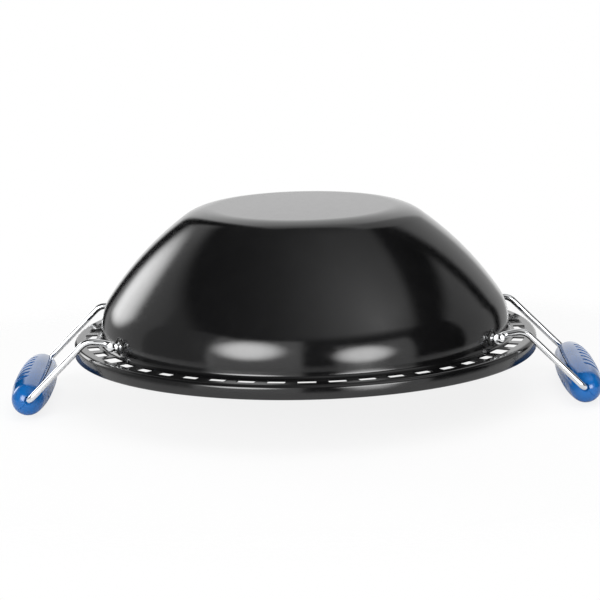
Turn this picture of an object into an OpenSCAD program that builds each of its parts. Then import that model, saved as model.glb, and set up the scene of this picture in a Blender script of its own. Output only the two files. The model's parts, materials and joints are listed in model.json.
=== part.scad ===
// Domed lid and pan of a portable gas stove: a pressed steel dome with a slotted rim,
// and two wire handles with moulded grips that swing on lugs bolted through the dome wall.
// The dome stands on its two grips, with its axis on Z and the handles along X.

/* [Dome] */
// Height of the flat top above the rim's lower edge
dome_h = 111; // [105:0.5:125]
// Radius of the belly above the foot
belly_r = 40; // [30:1:46]
// Lean of the wall where the belly ends, from upright
belly_lean = 34; // [28:0.5:40]
// Radius of the long side curve
side_r = 250; // [200:5:255]
// Lean of the wall where the shoulder starts, from upright
side_lean = 53.5; // [48:0.5:55]
// Radius of the shoulder round the flat top
shoulder_r = 40; // [20:1:45]
// Thickness of the pressed sheet
sheet = 1.2; // [0.8:0.1:1.5]

/* [Rim] */
// Outer radius of the rim's skirt
rim_r = 180; // [150:0.5:210]
// Width of the flange, from the foot of the dome to the skirt
flange_w = 21.3; // [19:0.1:26]
// Height of the slotted flange above the rim's lower edge
flange_h = 10.7; // [9:0.1:11]
// Radius of the fillet between foot and flange
foot_fillet = 3; // [2:0.1:3.5]
// Radius of the flange's outer edge
edge_r = 3; // [2:0.1:4]
// Height of the folded hem on the skirt
hem_h = 4; // [3:0.1:5]
// Thickness of the folded hem
hem_t = 2.6; // [2:0.1:3.5]
// How far the hem stands out of the skirt
hem_proud = 0.4; // [0.2:0.1:0.8]

/* [Vent slots] */
// Number of vent slots round the flange
slot_count = 48; // [24:4:52]
// Length of a slot along the rim
slot_l = 13.5; // [8:0.1:14]
// Land between the foot's fillet and the slots
slot_inner_land = 1.3; // [0.5:0.1:3]
// Land between the slots and the flange's rounded edge
slot_outer_land = 5; // [2:0.1:8]
// How much further the slots under the pivots reach inwards
lug_slot_extra = 2; // [0.5:0.1:2.2]

/* [Handle wire] */
// Diameter of the handle wire
wire_d = 5; // [4:0.1:5.5]
// Distance of each leg from the middle of the handle
leg_y = 68; // [66:0.5:72]
// How far the elbow lies inside the rim's skirt
elbow_in = 1.6; // [0:0.1:2.5]
// Rise of the short arm at rest
arm_rise = 9; // [4:0.5:12]
// Length of the leg from the elbow to the bar inside the grip
leg_len = 65; // [58:0.5:70]
// Drop of the leg at rest, below level
leg_drop = 45; // [40:0.5:50]
// Bend radius at the elbow
elbow_r = 12; // [8:0.5:14]
// Bend radius where the wire turns into the pivot
pivot_bend_r = 8; // [7:0.1:8.5]
// Bend radius where the wire turns into the grip
corner_r = 6; // [5:0.1:7]
// Height of the pivot above the rim's lower edge
pivot_h = 19; // [18.5:0.1:20]
// Gap between the wire's pivot bend and the dome wall
wire_wall_gap = 1.2; // [1:0.1:3]

/* [Grip] */
// Largest radius of a grip, at its middle
grip_r = 15; // [13.5:0.1:17]
// Radius of a grip's rounded end
grip_end_r = 12.5; // [8:0.5:14]
// Half the length of a grip
grip_half_l = 63; // [58:0.5:64]
// Half the length of a grip's straight middle, on which the part stands
grip_straight = 8; // [4:0.5:12]
// How far the grip's middle lies outboard of the wire
grip_shift = 3; // [1.5:0.1:4]
// Width of the slit on the grip's inner side
slit_w = 0.8; // [0.4:0.1:1.5]
// Number of finger grooves on each half of a grip
groove_count = 7; // [3:1:8]
// Distance between finger grooves
groove_pitch = 11; // [9:0.5:12]
// Width of a finger groove
groove_w = 4.5; // [2:0.1:5]
// Depth of a finger groove
groove_depth = 1.3; // [0.6:0.1:1.6]
// Angle from the slit at which the grooves start
groove_start = 48; // [40:1:80]
// Angle from the slit at which the grooves end
groove_end = 160; // [130:1:165]

/* [Grip screws] */
// Distance of each grip screw from the middle of the grip, along the grip
screw_y = 27.5; // [20:0.5:30]
// Distance of each grip screw from the middle of the grip, outboard
screw_x = 6; // [5:0.1:7]
// Diameter of a grip screw's shank
screw_d = 3; // [2:0.1:3.5]
// Diameter of a grip screw's head
screw_head_d = 5.6; // [5:0.1:6]
// Height of a grip screw's head
screw_head_h = 2; // [1.5:0.1:3]
// Length of a grip screw under its head
screw_l = 11; // [8:0.5:13]
// Depth of the screw head below the split between the halves
screw_head_z = 5; // [4:0.1:6]

/* [Pivot lugs] */
// Outer radius of a lug's eye
eye_r = 4.2; // [4:0.05:4.3]
// Thickness of a lug's eye
eye_t = 3.6; // [3.4:0.1:4.2]
// Radius of the neck behind the eye
neck_r = 2; // [1.6:0.1:2.1]
// Radius of the lug's collar
collar_r = 3.4; // [3:0.1:3.6]
// Thickness of the lug's collar
collar_t = 0.6; // [0.5:0.1:0.7]
// Radius of the lug's shank
shank_r = 2; // [1.5:0.1:2.4]
// Radius of the pressed seat in the dome wall
seat_r = 6; // [5.6:0.1:6.4]
// Depth of the pressed seat below the wall's lowest corner round it
seat_sink = 0.35; // [0.3:0.05:0.5]
// Radius of the outer seal washer and of the backing washer
washer_r = 5.2; // [4.6:0.1:5.4]
// Thickness of the outer seal washer
seal_t = 0.8; // [0.6:0.1:0.9]
// Thickness of the backing washer
backing_t = 1; // [0.6:0.1:1.5]
// Width of the cap nut across its flats
nut_flats = 8; // [6:0.1:8.5]
// Height of the cap nut's hexagon
nut_h = 4; // [3:0.1:6]
// Radius of the cap nut's dome
nut_dome_r = 3.6; // [2.8:0.1:3.8]
// Thickness of the wire's flattened end
head_t = 1.2; // [0.8:0.1:2]
// Radius of the wire's flattened end
head_r = 3.4; // [3:0.1:4]

/* [Clearances] */
// Running gap between a turning pin and its hole, on the radius
run_gap = 0.08; // [0.04:0.01:0.1]
// Gap round a fixed pin in its hole, on the radius
fix_gap = 0.05; // [0.02:0.01:0.1]
// Gap between faces that slide past each other
face_gap = 0.35; // [0.3:0.05:0.6]
// Straight length of the wire between its bend and the lug's eye
eye_gap = 0.6; // [0.5:0.1:1]
// Gap round the wire inside the grip, on the radius
grip_bore_gap = 0.15; // [0.12:0.01:0.3]

/* [Hidden] */
$fn = 64;
SIDES = ["left", "right"];
ENDS = ["front", "rear"];

wire_r = wire_d / 2;
past = 1;
dome_fn = 192;
arc_step = 5;
// The wire's straight runs lap into its bends, which are a touch thicker than the runs
bend_proud = 0.05;
wire_lap = 0.3;
// The disc behind a seat takes up this share of the sheet, so that it stays inside the wall
seat_back = 0.9;

foot_r = rim_r - flange_w;
slot_in_r = foot_r + foot_fillet + slot_inner_land;
slot_out_r = rim_r - edge_r - slot_outer_land;

// Pivot and short arm of the wire: the pivot's bend passes the wall at the set gap
bend_y = leg_y + pivot_bend_r;
bend_d = foot_r + wire_wall_gap + wire_r + pivot_bend_r;
pivot_x = sqrt(pow(bend_d, 2) - pow(bend_y, 2)) - pivot_bend_r * cos(arm_rise);
elbow_x = sqrt(pow(rim_r, 2) - pow(leg_y, 2)) - elbow_in;
arm_len = (elbow_x - pivot_x) / cos(arm_rise);

// Height of the rim's lower edge when the dome stands on its grips
rim_z = (leg_len + grip_shift) * sin(leg_drop) - arm_len * sin(arm_rise) - pivot_h + grip_r;
pivot_z = rim_z + pivot_h;

// Middle of the wall's curves, from the flat top down
flat_r = foot_r - belly_r * (1 - cos(belly_lean)) - side_r * (cos(belly_lean) - cos(side_lean))
    - shoulder_r * cos(side_lean);
shoulder_c = [flat_r, dome_h - shoulder_r];
side_c = shoulder_c + (shoulder_r - side_r) * [cos(side_lean), sin(side_lean)];
belly_c = side_c + (side_r - belly_r) * [cos(belly_lean), sin(belly_lean)];
fillet_c = [foot_r + foot_fillet, flange_h + foot_fillet];
edge_c = [rim_r - edge_r, flange_h - edge_r];

// Radius of the wall at a height z in the belly or below it
function wall_r(z) = belly_c.x + sqrt(pow(belly_r, 2) - pow(max(0, z - belly_c.y), 2));

// Eye, and the seat that faces it on the wall; a name in _d is a distance from the dome's axis
eye_y = bend_y + eye_gap + eye_t / 2;
eye_d = norm([pivot_x, eye_y]);
lug_angle = atan2(eye_y, pivot_x);
seat_d = sqrt(pow(wall_r(pivot_h + seat_r), 2) - pow(seat_r, 2)) - seat_sink;
head_y = eye_y + eye_t / 2 + face_gap;

// Grip outline: a straight middle, and an arc on each side of it that runs into a ball
grip_ball_y = grip_half_l - grip_end_r;
barrel_y = grip_ball_y - grip_straight;
barrel_r = (pow(barrel_y, 2) + pow(grip_r, 2) - pow(grip_end_r, 2)) / (2 * (grip_r - grip_end_r));
barrel_angle = atan2(barrel_y, barrel_r - grip_r);

// Points along an arc, about every arc_step degrees
function arc(c, r, a, b) =
    let (n = max(2, ceil(abs(b - a) / arc_step)))
    [for (i = [0 : n]) c + r * [cos(a + (b - a) * i / n), sin(a + (b - a) * i / n)]];

// Line of the sheet from the middle of the top to the skirt, t inside its outer face
function sheet_line(t) = concat(
    [[0, dome_h - t]],
    arc(shoulder_c, shoulder_r - t, 90, side_lean),
    arc(side_c, side_r - t, side_lean, belly_lean),
    arc(belly_c, belly_r - t, belly_lean, 0),
    arc(fillet_c, foot_fillet + t, 180, 270),
    arc(edge_c, edge_r - t, 90, 0)
);

function reversed(list) = [for (i = [len(list) - 1 : -1 : 0]) list[i]];

module sheet_profile() {
    hem = [
        [rim_r, hem_h],
        [rim_r + hem_proud, hem_h - hem_proud],
        [rim_r + hem_proud, 0],
        [rim_r - hem_t, 0],
        [rim_r - hem_t, hem_h],
        [rim_r - sheet, hem_h]
    ];
    polygon(concat(sheet_line(0), hem, reversed(sheet_line(sheet))));
}

module slot_cut(angle, extra) {
    rotate([0, 0, angle])
        translate([slot_in_r - extra, -slot_l / 2, flange_h - sheet - past])
            cube([slot_out_r - slot_in_r + extra, slot_l, sheet + 2 * past]);
}

module vent_slots() {
    pitch = 360 / slot_count;
    lug_slot = pitch * round(lug_angle / pitch);
    for (i = [0 : slot_count - 1]) slot_cut(i * pitch, 0);
    for (a = [lug_slot, -lug_slot, 180 - lug_slot, 180 + lug_slot]) slot_cut(a, lug_slot_extra);
}

// Puts its children at all four pivots, with +Z leaving the dome
module at_seats() {
    for (turn = [0, 180], dir = [-1, 1])
        rotate([0, 0, turn + dir * lug_angle]) translate([0, 0, pivot_h]) rotate([0, 90, 0]) children();
}

module dome_shell() {
    color("#1a1a1a") translate([0, 0, rim_z]) difference() {
        union() {
            difference() {
                rotate_extrude($fn = dome_fn) sheet_profile();
                vent_slots();
            }
            at_seats() translate([0, 0, seat_d - sheet]) cylinder(r = seat_r + sheet, h = seat_back * sheet);
        }
        at_seats() translate([0, 0, seat_d]) cylinder(r = seat_r, h = foot_r - seat_d + past);
        at_seats() cylinder(r = shank_r + fix_gap, h = foot_r);
    }
}

// Directions of the handle at rest, and the turn between them
arm_dir = [cos(arm_rise), 0, sin(arm_rise)];
arm_up = [-sin(arm_rise), 0, cos(arm_rise)];
leg_dir = [cos(leg_drop), 0, -sin(leg_drop)];
elbow_angle = arm_rise + leg_drop;
elbow_tangent = elbow_r * tan(elbow_angle / 2);
pivot = [pivot_x, 0, pivot_z];
elbow = pivot + arm_len * arm_dir;

// Bends from the pivot to the grip, on the side of the handle that dir names:
// each has its middle, its radius, the directions in which it starts and turns, and its angle
function bends(dir) =
    let (out = [0, dir, 0])
    [
        [pivot + bend_y * out + pivot_bend_r * arm_dir, pivot_bend_r, -arm_dir, -out, 90],
        [pivot + leg_y * out + (arm_len - elbow_tangent) * arm_dir - elbow_r * arm_up,
            elbow_r, arm_up, arm_dir, elbow_angle],
        [elbow + (leg_len - corner_r) * leg_dir + (leg_y - corner_r) * out, corner_r, out, leg_dir, 90]
    ];

function bend_point(b, angle) = b[0] + b[1] * (cos(angle) * b[2] + sin(angle) * b[3]);
function bend_start(b) = bend_point(b, 0);
function bend_end(b) = bend_point(b, b[4]);

module grip_frame() {
    translate(elbow + (leg_len + grip_shift) * leg_dir) rotate([0, leg_drop, 0]) children();
}

module on_side(side) {
    rotate([0, 0, side == "left" ? 180 : 0]) children();
}

module wire_run(a, b) {
    d = (b - a) / norm(b - a);
    translate(a - wire_lap * d) rotate([0, acos(d.z), atan2(d.y, d.x)])
        cylinder(r = wire_r, h = norm(b - a) + 2 * wire_lap);
}

module wire_bend(b) {
    normal = cross(b[2], b[3]);
    multmatrix([
        [b[2].x, b[3].x, normal.x, b[0].x],
        [b[2].y, b[3].y, normal.y, b[0].y],
        [b[2].z, b[3].z, normal.z, b[0].z],
        [0, 0, 0, 1]
    ]) rotate_extrude(angle = b[4]) translate([b[1], 0]) circle(r = wire_r + bend_proud);
}

module half_bail(dir) {
    path = bends(dir);
    head = pivot + dir * head_y * [0, 1, 0];
    for (b = path) wire_bend(b);
    for (i = [1 : len(path) - 1]) wire_run(bend_end(path[i - 1]), bend_start(path[i]));
    wire_run(head, bend_start(path[0]));
    translate(head) rotate([-90 * dir, 0, 0]) cylinder(r = head_r, h = head_t);
}

module bail_wire(side) {
    color("silver") on_side(side) {
        for (dir = [-1, 1]) half_bail(dir);
        wire_run(bend_end(bends(-1)[2]), bend_end(bends(1)[2]));
    }
}

module grip_body() {
    rotate([90, 0, 0]) rotate_extrude() polygon(concat(
        arc([0, -grip_ball_y], grip_end_r, -90, -barrel_angle),
        arc([grip_r - barrel_r, -grip_straight], barrel_r, -barrel_angle, 0),
        arc([grip_r - barrel_r, grip_straight], barrel_r, 0, barrel_angle),
        arc([0, grip_ball_y], grip_end_r, barrel_angle, 90)
    ));
}

// Radius of a grip's outline at a distance y from its middle
function barrel_radius(y) =
    let (past_straight = max(0, abs(y) - grip_straight))
    grip_r - barrel_r + sqrt(pow(barrel_r, 2) - pow(past_straight, 2));

// Sector of a grip's section that carries the finger grooves, on the side that faces up
module groove_sector() {
    reach = 2 * grip_r;
    polygon([
        [0, 0],
        reach * [-cos(groove_start), sin(groove_start)],
        reach * [0, 1],
        reach * [-cos(groove_end), sin(groove_end)]
    ]);
}

module finger_grooves() {
    for (i = [0 : groove_count - 1]) {
        y = (i - (groove_count - 1) / 2) * groove_pitch;
        translate([0, y + groove_w / 2, 0]) rotate([90, 0, 0]) linear_extrude(groove_w) difference() {
            groove_sector();
            circle(r = barrel_radius(y) - groove_depth);
        }
    }
}

module grip_screw_cut(gap, head_reach) {
    for (s = [-1, 1]) translate([screw_x, s * screw_y, -screw_head_z]) {
        cylinder(d = screw_d + 2 * gap, h = screw_l + gap);
        translate([0, 0, -head_reach]) cylinder(d = screw_head_d + 2 * gap, h = head_reach);
    }
}

// One half of a grip; dir is 1 for the half above the split and -1 for the half below
module grip_half(dir) {
    depth = grip_r + past;
    difference() {
        intersection() {
            grip_body();
            translate([0, 0, dir * depth / 2])
                cube([2 * depth, 2 * (grip_half_l + past), depth], center = true);
        }
        translate([-grip_shift, grip_half_l + past, 0]) rotate([90, 45, 0])
            cylinder(r = wire_r + grip_bore_gap, h = 2 * (grip_half_l + past));
        translate([-depth, -grip_half_l - past, -slit_w / 2])
            cube([depth - grip_shift, 2 * (grip_half_l + past), slit_w]);
        mirror([0, 0, dir < 0 ? 1 : 0]) finger_grooves();
        grip_screw_cut(fix_gap, grip_r);
    }
}

module grip_upper(side) {
    color("#1560b8") on_side(side) grip_frame() grip_half(1);
}

module grip_lower(side) {
    color("#1560b8") on_side(side) grip_frame() grip_half(-1);
}

module grip_screws(side) {
    color("silver") on_side(side) grip_frame() grip_screw_cut(0, screw_head_h);
}

// Which way along Y a pivot lies from the middle of its handle, before the handle is put on its side
function pivot_dir(side, end) = (side == "left") == (end == "front") ? 1 : -1;

// Puts its children on the dome's axis, with +Z leaving the dome through one pivot's seat
module at_pivot(side, end) {
    on_side(side) rotate([0, 0, pivot_dir(side, end) * lug_angle])
        translate([0, 0, pivot_z]) rotate([0, 90, 0]) children();
}

// Puts its children at the middle of one eye, with Z along the wire's end
module at_eye(side, end) {
    on_side(side) translate([pivot_x, pivot_dir(side, end) * eye_y, pivot_z]) rotate([90, 0, 0]) children();
}

seal_d = seat_d + fix_gap;
nut_d = seat_d - sheet - backing_t;
shank_d = nut_d - nut_h;

module pivot_lug(side, end) {
    collar_d = seal_d + seal_t;
    neck_d = collar_d + collar_t / 2;
    color("silver") difference() {
        union() {
            at_pivot(side, end) {
                translate([0, 0, shank_d]) cylinder(r = shank_r, h = neck_d - shank_d);
                translate([0, 0, collar_d]) cylinder(r = collar_r, h = collar_t);
                translate([0, 0, neck_d]) cylinder(r = neck_r, h = eye_d - neck_d);
            }
            at_eye(side, end) cylinder(r = eye_r, h = eye_t, center = true);
        }
        at_eye(side, end) cylinder(r = wire_r + run_gap, h = 2 * (eye_t + past), center = true);
    }
}

module washer(thickness) {
    difference() {
        cylinder(r = washer_r, h = thickness);
        translate([0, 0, -past]) cylinder(r = shank_r + fix_gap, h = thickness + 2 * past);
    }
}

module seal_washer(side, end) {
    color("#303030") at_pivot(side, end) translate([0, 0, seal_d]) washer(seal_t);
}

module backing_washer(side, end) {
    color("silver") at_pivot(side, end) translate([0, 0, nut_d]) washer(backing_t);
}

module cap_nut(side, end) {
    color("silver") at_pivot(side, end) difference() {
        union() {
            translate([0, 0, shank_d]) cylinder(d = nut_flats / cos(30), h = nut_h, $fn = 6);
            translate([0, 0, shank_d]) sphere(r = nut_dome_r);
        }
        translate([0, 0, shank_d - fix_gap]) cylinder(r = shank_r + fix_gap, h = nut_h + past);
    }
}

dome_shell();
for (s = SIDES) {
    bail_wire(s);
    grip_upper(s);
    grip_lower(s);
    grip_screws(s);
    for (e = ENDS) {
        pivot_lug(s, e);
        seal_washer(s, e);
        backing_washer(s, e);
        cap_nut(s, e);
    }
}
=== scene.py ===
"""Looks of a domed stove lid with two swinging wire handles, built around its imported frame."""

import json
import logging
from dataclasses import dataclass
from enum import Enum
from math import atan2, cos, degrees, hypot, inf, pi, radians, sin, sqrt, tan
from typing import Iterable

import bmesh
import bpy
from bmesh.types import BMEdge, BMesh, BMVert
from bpy.types import Material, Node, NodeSocket, NodeTree, Object
from mathutils import Matrix, Vector


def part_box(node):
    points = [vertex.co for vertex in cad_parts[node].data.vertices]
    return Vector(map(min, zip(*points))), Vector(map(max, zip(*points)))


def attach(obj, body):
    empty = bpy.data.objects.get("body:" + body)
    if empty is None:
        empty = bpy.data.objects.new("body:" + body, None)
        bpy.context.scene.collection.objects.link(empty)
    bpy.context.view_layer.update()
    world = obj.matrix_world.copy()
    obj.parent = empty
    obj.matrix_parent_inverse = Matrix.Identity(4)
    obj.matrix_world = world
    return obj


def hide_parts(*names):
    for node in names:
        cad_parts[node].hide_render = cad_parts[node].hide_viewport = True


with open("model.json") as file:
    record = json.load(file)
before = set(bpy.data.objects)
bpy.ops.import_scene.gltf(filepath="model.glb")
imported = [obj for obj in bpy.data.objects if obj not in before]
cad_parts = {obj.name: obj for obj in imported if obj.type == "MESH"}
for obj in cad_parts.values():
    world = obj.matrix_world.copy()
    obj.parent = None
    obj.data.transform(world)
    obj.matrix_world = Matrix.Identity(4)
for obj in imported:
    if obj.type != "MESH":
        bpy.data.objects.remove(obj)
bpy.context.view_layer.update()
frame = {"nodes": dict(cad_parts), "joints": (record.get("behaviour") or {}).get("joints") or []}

log = logging.getLogger("stove_lid")

Colour = tuple[float, float, float]

MM = 0.001
# Attribute with the depth of the finger grooves, which places the painted shade in them.
GROOVE_SHADE_LAYER = "groove"
WHITE = (1.0, 1.0, 1.0)
UP = Vector((0.0, 0.0, 1.0))

# Mesh work, in mm and degrees
MERGE_MM = 1e-3
SHARP_DEG = 38.0
CORNER_SEGMENTS = 5
ROUND_SIDES = 32

# Sizes that the handles, the lugs and the dome share, in mm
WIRE_R = 2.5
LEG_Y = 68.0
PIVOT_BEND_R = 8.0
EYE_GAP = 0.6
EYE_T = 3.6
EYE_Y = LEG_Y + PIVOT_BEND_R + EYE_GAP + EYE_T / 2
SHANK_R = 2.0
FIX_GAP = 0.05


class Way(Enum):
    """A named direction along an axis, with its sign."""

    @property
    def label(self) -> str:
        """Word for the direction in the names of pieces."""
        return self.name.lower()


class Side(Way):
    """Side of the lid that a handle hangs on, with its direction along X."""

    LEFT = -1
    RIGHT = 1


class End(Way):
    """End of a handle, with its direction along Y."""

    FRONT = -1
    REAR = 1


class Half(Way):
    """Half of a grip, with the direction from the split into the half."""

    UPPER = 1
    LOWER = -1


class Laid(Enum):
    """How a shape that was spun about Z lies, with the angle and the axis of the turn to there."""

    UPRIGHT = (0.0, "Z")
    ALONG_X = (pi / 2, "Y")
    ALONG_Y = (-pi / 2, "X")

    def turn(self) -> Matrix:
        """Turn that lays the shape."""
        angle, axis = self.value
        return Matrix.Rotation(angle, 3, axis)


class CutKind(Enum):
    """What a second mesh does to a piece."""

    REMOVE = "DIFFERENCE"
    JOIN = "UNION"


class Sum(Enum):
    """What a node works out of its values."""

    ADD = "ADD"
    MULTIPLY = "MULTIPLY"
    ARCCOSINE = "ARCCOSINE"
    EXPONENT = "EXPONENT"


class RampKind(Enum):
    """How a value goes from one number to another."""

    EASED = "SMOOTHSTEP"
    STEADY = "LINEAR"


PIVOTS = tuple((side, end) for side in Side for end in End)


def smooth_step(low: float, high: float, value: float) -> float:
    """Ease from 0 at low to 1 at high.

    Args:
        low: Value at which the result is 0.
        high: Value at which the result is 1.
        value: Value to look up.

    Returns:
        A number from 0 to 1.
    """
    share = min(1.0, max(0.0, (value - low) / (high - low)))
    return share * share * (3.0 - 2.0 * share)


def direction(azimuth: float, elevation: float) -> Vector:
    """Unit vector towards a place round the part.

    Args:
        azimuth: Angle in degrees from the camera's side, towards +X.
        elevation: Angle in degrees above level.

    Returns:
        The vector.
    """
    turn, lift = radians(azimuth), radians(elevation)
    return Vector((sin(turn) * cos(lift), -cos(turn) * cos(lift), sin(lift)))


def opaque(colour: Colour) -> tuple[float, float, float, float]:
    """Give a colour full opacity."""
    return (*colour, 1.0)


def only(kind: type, geom: Iterable) -> list:
    """Pick the elements of one kind from the result of a mesh operator."""
    return [element for element in geom if isinstance(element, kind)]


def all_of(bm: BMesh) -> list:
    """List all vertices, edges and faces of a mesh."""
    return bm.verts[:] + bm.edges[:] + bm.faces[:]


def shift(bm: BMesh, x: float, y: float) -> None:
    """Move a whole mesh along X and Y, in mm."""
    bmesh.ops.translate(bm, verts=bm.verts[:], vec=(x, y, 0.0))


def close_skin(bm: BMesh) -> None:
    """Merge doubles and turn all faces outwards."""
    bmesh.ops.remove_doubles(bm, verts=bm.verts[:], dist=MERGE_MM)
    bmesh.ops.recalc_face_normals(bm, faces=bm.faces[:])


@dataclass(frozen=True)
class Places:
    """Places on the part, in mm. All but the eyes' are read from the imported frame."""

    rim_z: float
    top_z: float
    hem_r: float
    pivot_x: float
    pivot_z: float
    eye_y: float = EYE_Y

    @classmethod
    def from_frame(cls) -> "Places":
        """Read the places from the dome's box and the right hinge.

        Returns:
            The places.
        """
        dome_low, dome_high = (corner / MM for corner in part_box("dome_shell"))
        hinge = next(j for j in frame["joints"] if j["name"] == "right_handle_hinge")
        pivot = Vector(hinge["pos_m"]) / MM
        return cls(dome_low.z, dome_high.z, dome_high.x, pivot.x, pivot.z)

    def lug_turn(self, end: End, side: Side = Side.RIGHT) -> Matrix:
        """Turn about Z that brings X to a lug. The left side is the right one turned half round."""
        half_turn = Matrix.Rotation(pi / 2 - side.value * pi / 2, 4, "Z")
        return half_turn @ Matrix.Rotation(atan2(end.value * self.eye_y, self.pivot_x), 4, "Z")


class ProfilePen:
    """Draws a line of edges in the XZ plane, stroke after stroke, for a shape spun about Z."""

    def __init__(self, x: float, z: float) -> None:
        """Start the line.

        Args:
            x: Distance of the first point from the axis, in mm.
            z: Height of the first point, in mm.
        """
        self.bm = bmesh.new()
        self.tip = self.bm.verts.new((x, 0.0, z))

    def line(self, x: float, z: float, steps: int = 1) -> "ProfilePen":
        """Draw a straight stroke to a point.

        Args:
            x: Distance of the stroke's end from the axis, in mm.
            z: Height of the stroke's end, in mm.
            steps: Number of edges in the stroke.

        Returns:
            The pen, for the next stroke.
        """
        start = self.tip.co.copy()
        for step in range(1, steps + 1):
            self.tip = bmesh.ops.extrude_vert_indiv(self.bm, verts=[self.tip])["verts"][0]
            self.tip.co = start.lerp(Vector((x, 0.0, z)), step / steps)
        return self

    def arc(self, x: float, z: float, turn: float, steps: int) -> "ProfilePen":
        """Draw an arc round a point.

        Args:
            x: Distance of the arc's middle from the axis, in mm.
            z: Height of the arc's middle, in mm.
            turn: Angle in degrees, from +Z towards +X when positive.
            steps: Number of edges in the arc.

        Returns:
            The pen, for the next stroke.
        """
        spun = bmesh.ops.spin(
            self.bm, geom=[self.tip], cent=(x, 0.0, z), axis=(0.0, 1.0, 0.0),
            angle=radians(turn), steps=steps,
        )
        self.tip = only(BMVert, spun["geom_last"])[0]
        return self

    def spin(self, steps: int, laid: Laid = Laid.UPRIGHT) -> BMesh:
        """Spin the line once round its axis into a closed skin.

        Args:
            steps: Number of faces round the axis.
            laid: How the shape lies afterwards.

        Returns:
            The mesh, with its poles merged and its faces pointing outwards.
        """
        bm = self.bm
        bmesh.ops.spin(
            bm, geom=all_of(bm), axis=(0.0, 0.0, 1.0), angle=2 * pi, steps=steps, use_merge=True
        )
        close_skin(bm)
        bmesh.ops.rotate(bm, verts=bm.verts[:], matrix=laid.turn())
        return bm


class TubePen:
    """Draws a tube: a ring of edges is pulled along straights and spun round bends."""

    def __init__(self, centre: Vector, heading: Vector, radius: float, sides: int) -> None:
        """Start the tube with an open ring.

        Args:
            centre: Middle of the first ring, in mm.
            heading: Unit vector along which the tube starts.
            radius: Radius of the tube, in mm.
            sides: Number of faces round the tube.
        """
        self.bm = bmesh.new()
        self.centre = centre.copy()
        turn = heading.to_track_quat("Z", "Y").to_matrix().to_4x4()
        verts = bmesh.ops.create_circle(
            self.bm, segments=sides, radius=radius, matrix=Matrix.Translation(centre) @ turn
        )["verts"]
        self.ring = list({edge for vert in verts for edge in vert.link_edges})

    def straight(self, step: Vector, widen: float = 1.0) -> "TubePen":
        """Pull the open end along.

        Args:
            step: Way to the next ring, in mm.
            widen: Scale of the next ring against this one.

        Returns:
            The pen, for the next stroke.
        """
        pulled = bmesh.ops.extrude_edge_only(self.bm, edges=self.ring)["geom"]
        verts = only(BMVert, pulled)
        self.ring = [edge for edge in only(BMEdge, pulled) if all(vert in verts for vert in edge.verts)]
        self.centre += step
        bmesh.ops.translate(self.bm, verts=verts, vec=step)
        bmesh.ops.scale(
            self.bm, verts=verts, vec=(widen, widen, widen), space=Matrix.Translation(-self.centre)
        )
        return self

    def bend(self, radius: float, heading: Vector, towards: Vector, turn: float, steps: int) -> "TubePen":
        """Turn the open end round a bend.

        Args:
            radius: Bend radius at the tube's middle, in mm.
            heading: Unit vector along which the tube arrives.
            towards: Unit vector, at right angles to heading, to which it turns.
            turn: Angle of the bend in degrees.
            steps: Number of rings in the bend.

        Returns:
            The pen, for the next stroke.
        """
        middle = self.centre + radius * towards
        axis = heading.cross(towards)
        verts = list({vert for edge in self.ring for vert in edge.verts})
        spun = bmesh.ops.spin(
            self.bm, geom=self.ring + verts, cent=middle, axis=axis, angle=radians(turn), steps=steps
        )
        self.ring = only(BMEdge, spun["geom_last"])
        self.centre = middle + Matrix.Rotation(radians(turn), 3, axis) @ (self.centre - middle)
        return self

    def cap(self) -> "TubePen":
        """Close the open end with a flat face."""
        bmesh.ops.contextual_create(self.bm, geom=self.ring)
        return self


def rounded_box(bm: BMesh, size: Vector, place: Matrix, corner: float) -> None:
    """Add a box whose upright edges are rounded.

    Args:
        bm: Mesh that takes the box.
        size: Lengths of the box along its own axes, in mm.
        place: Where the middle of the box goes.
        corner: Radius of the upright edges, in mm.
    """
    verts = bmesh.ops.create_cube(bm, size=1.0)["verts"]
    bmesh.ops.scale(bm, verts=verts, vec=size)
    upright = [
        edge for edge in {e for v in verts for e in v.link_edges}
        if abs(edge.verts[0].co.z - edge.verts[1].co.z) > size.z / 2
    ]
    corners = bmesh.ops.bevel(
        bm, geom=upright, offset=corner, affect="EDGES", segments=CORNER_SEGMENTS, profile=0.5, material=-1
    )["verts"]
    moved = {v for v in verts if v.is_valid} | set(corners)
    bmesh.ops.transform(bm, matrix=place, verts=list(moved))


def new_piece(name: str, bm: BMesh) -> Object:
    """Make an object from a mesh, in the mesh's own unit.

    Args:
        name: Name of the object.
        bm: Mesh, which is freed.

    Returns:
        The new object, linked to the scene.
    """
    mesh = bpy.data.meshes.new(name)
    bm.to_mesh(mesh)
    bm.free()
    piece = bpy.data.objects.new(name, mesh)
    bpy.context.scene.collection.objects.link(piece)
    return piece


def cut(piece: Object, tool_mesh: BMesh, kind: CutKind = CutKind.REMOVE) -> None:
    """Cut a mesh out of a piece, or join it to the piece.

    Args:
        piece: Object that is changed.
        tool_mesh: Closed mesh in the piece's own frame, which is freed.
        kind: Whether the mesh is removed or joined.
    """
    tool = new_piece(piece.name + ".tool", tool_mesh)
    modifier = piece.modifiers.new("cut", "BOOLEAN")
    modifier.object = tool
    modifier.operation = kind.value
    modifier.solver = "EXACT"
    depsgraph = bpy.context.evaluated_depsgraph_get()
    result = bpy.data.meshes.new_from_object(piece.evaluated_get(depsgraph))
    piece.modifiers.clear()
    piece.data = result
    bpy.data.objects.remove(tool)


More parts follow.
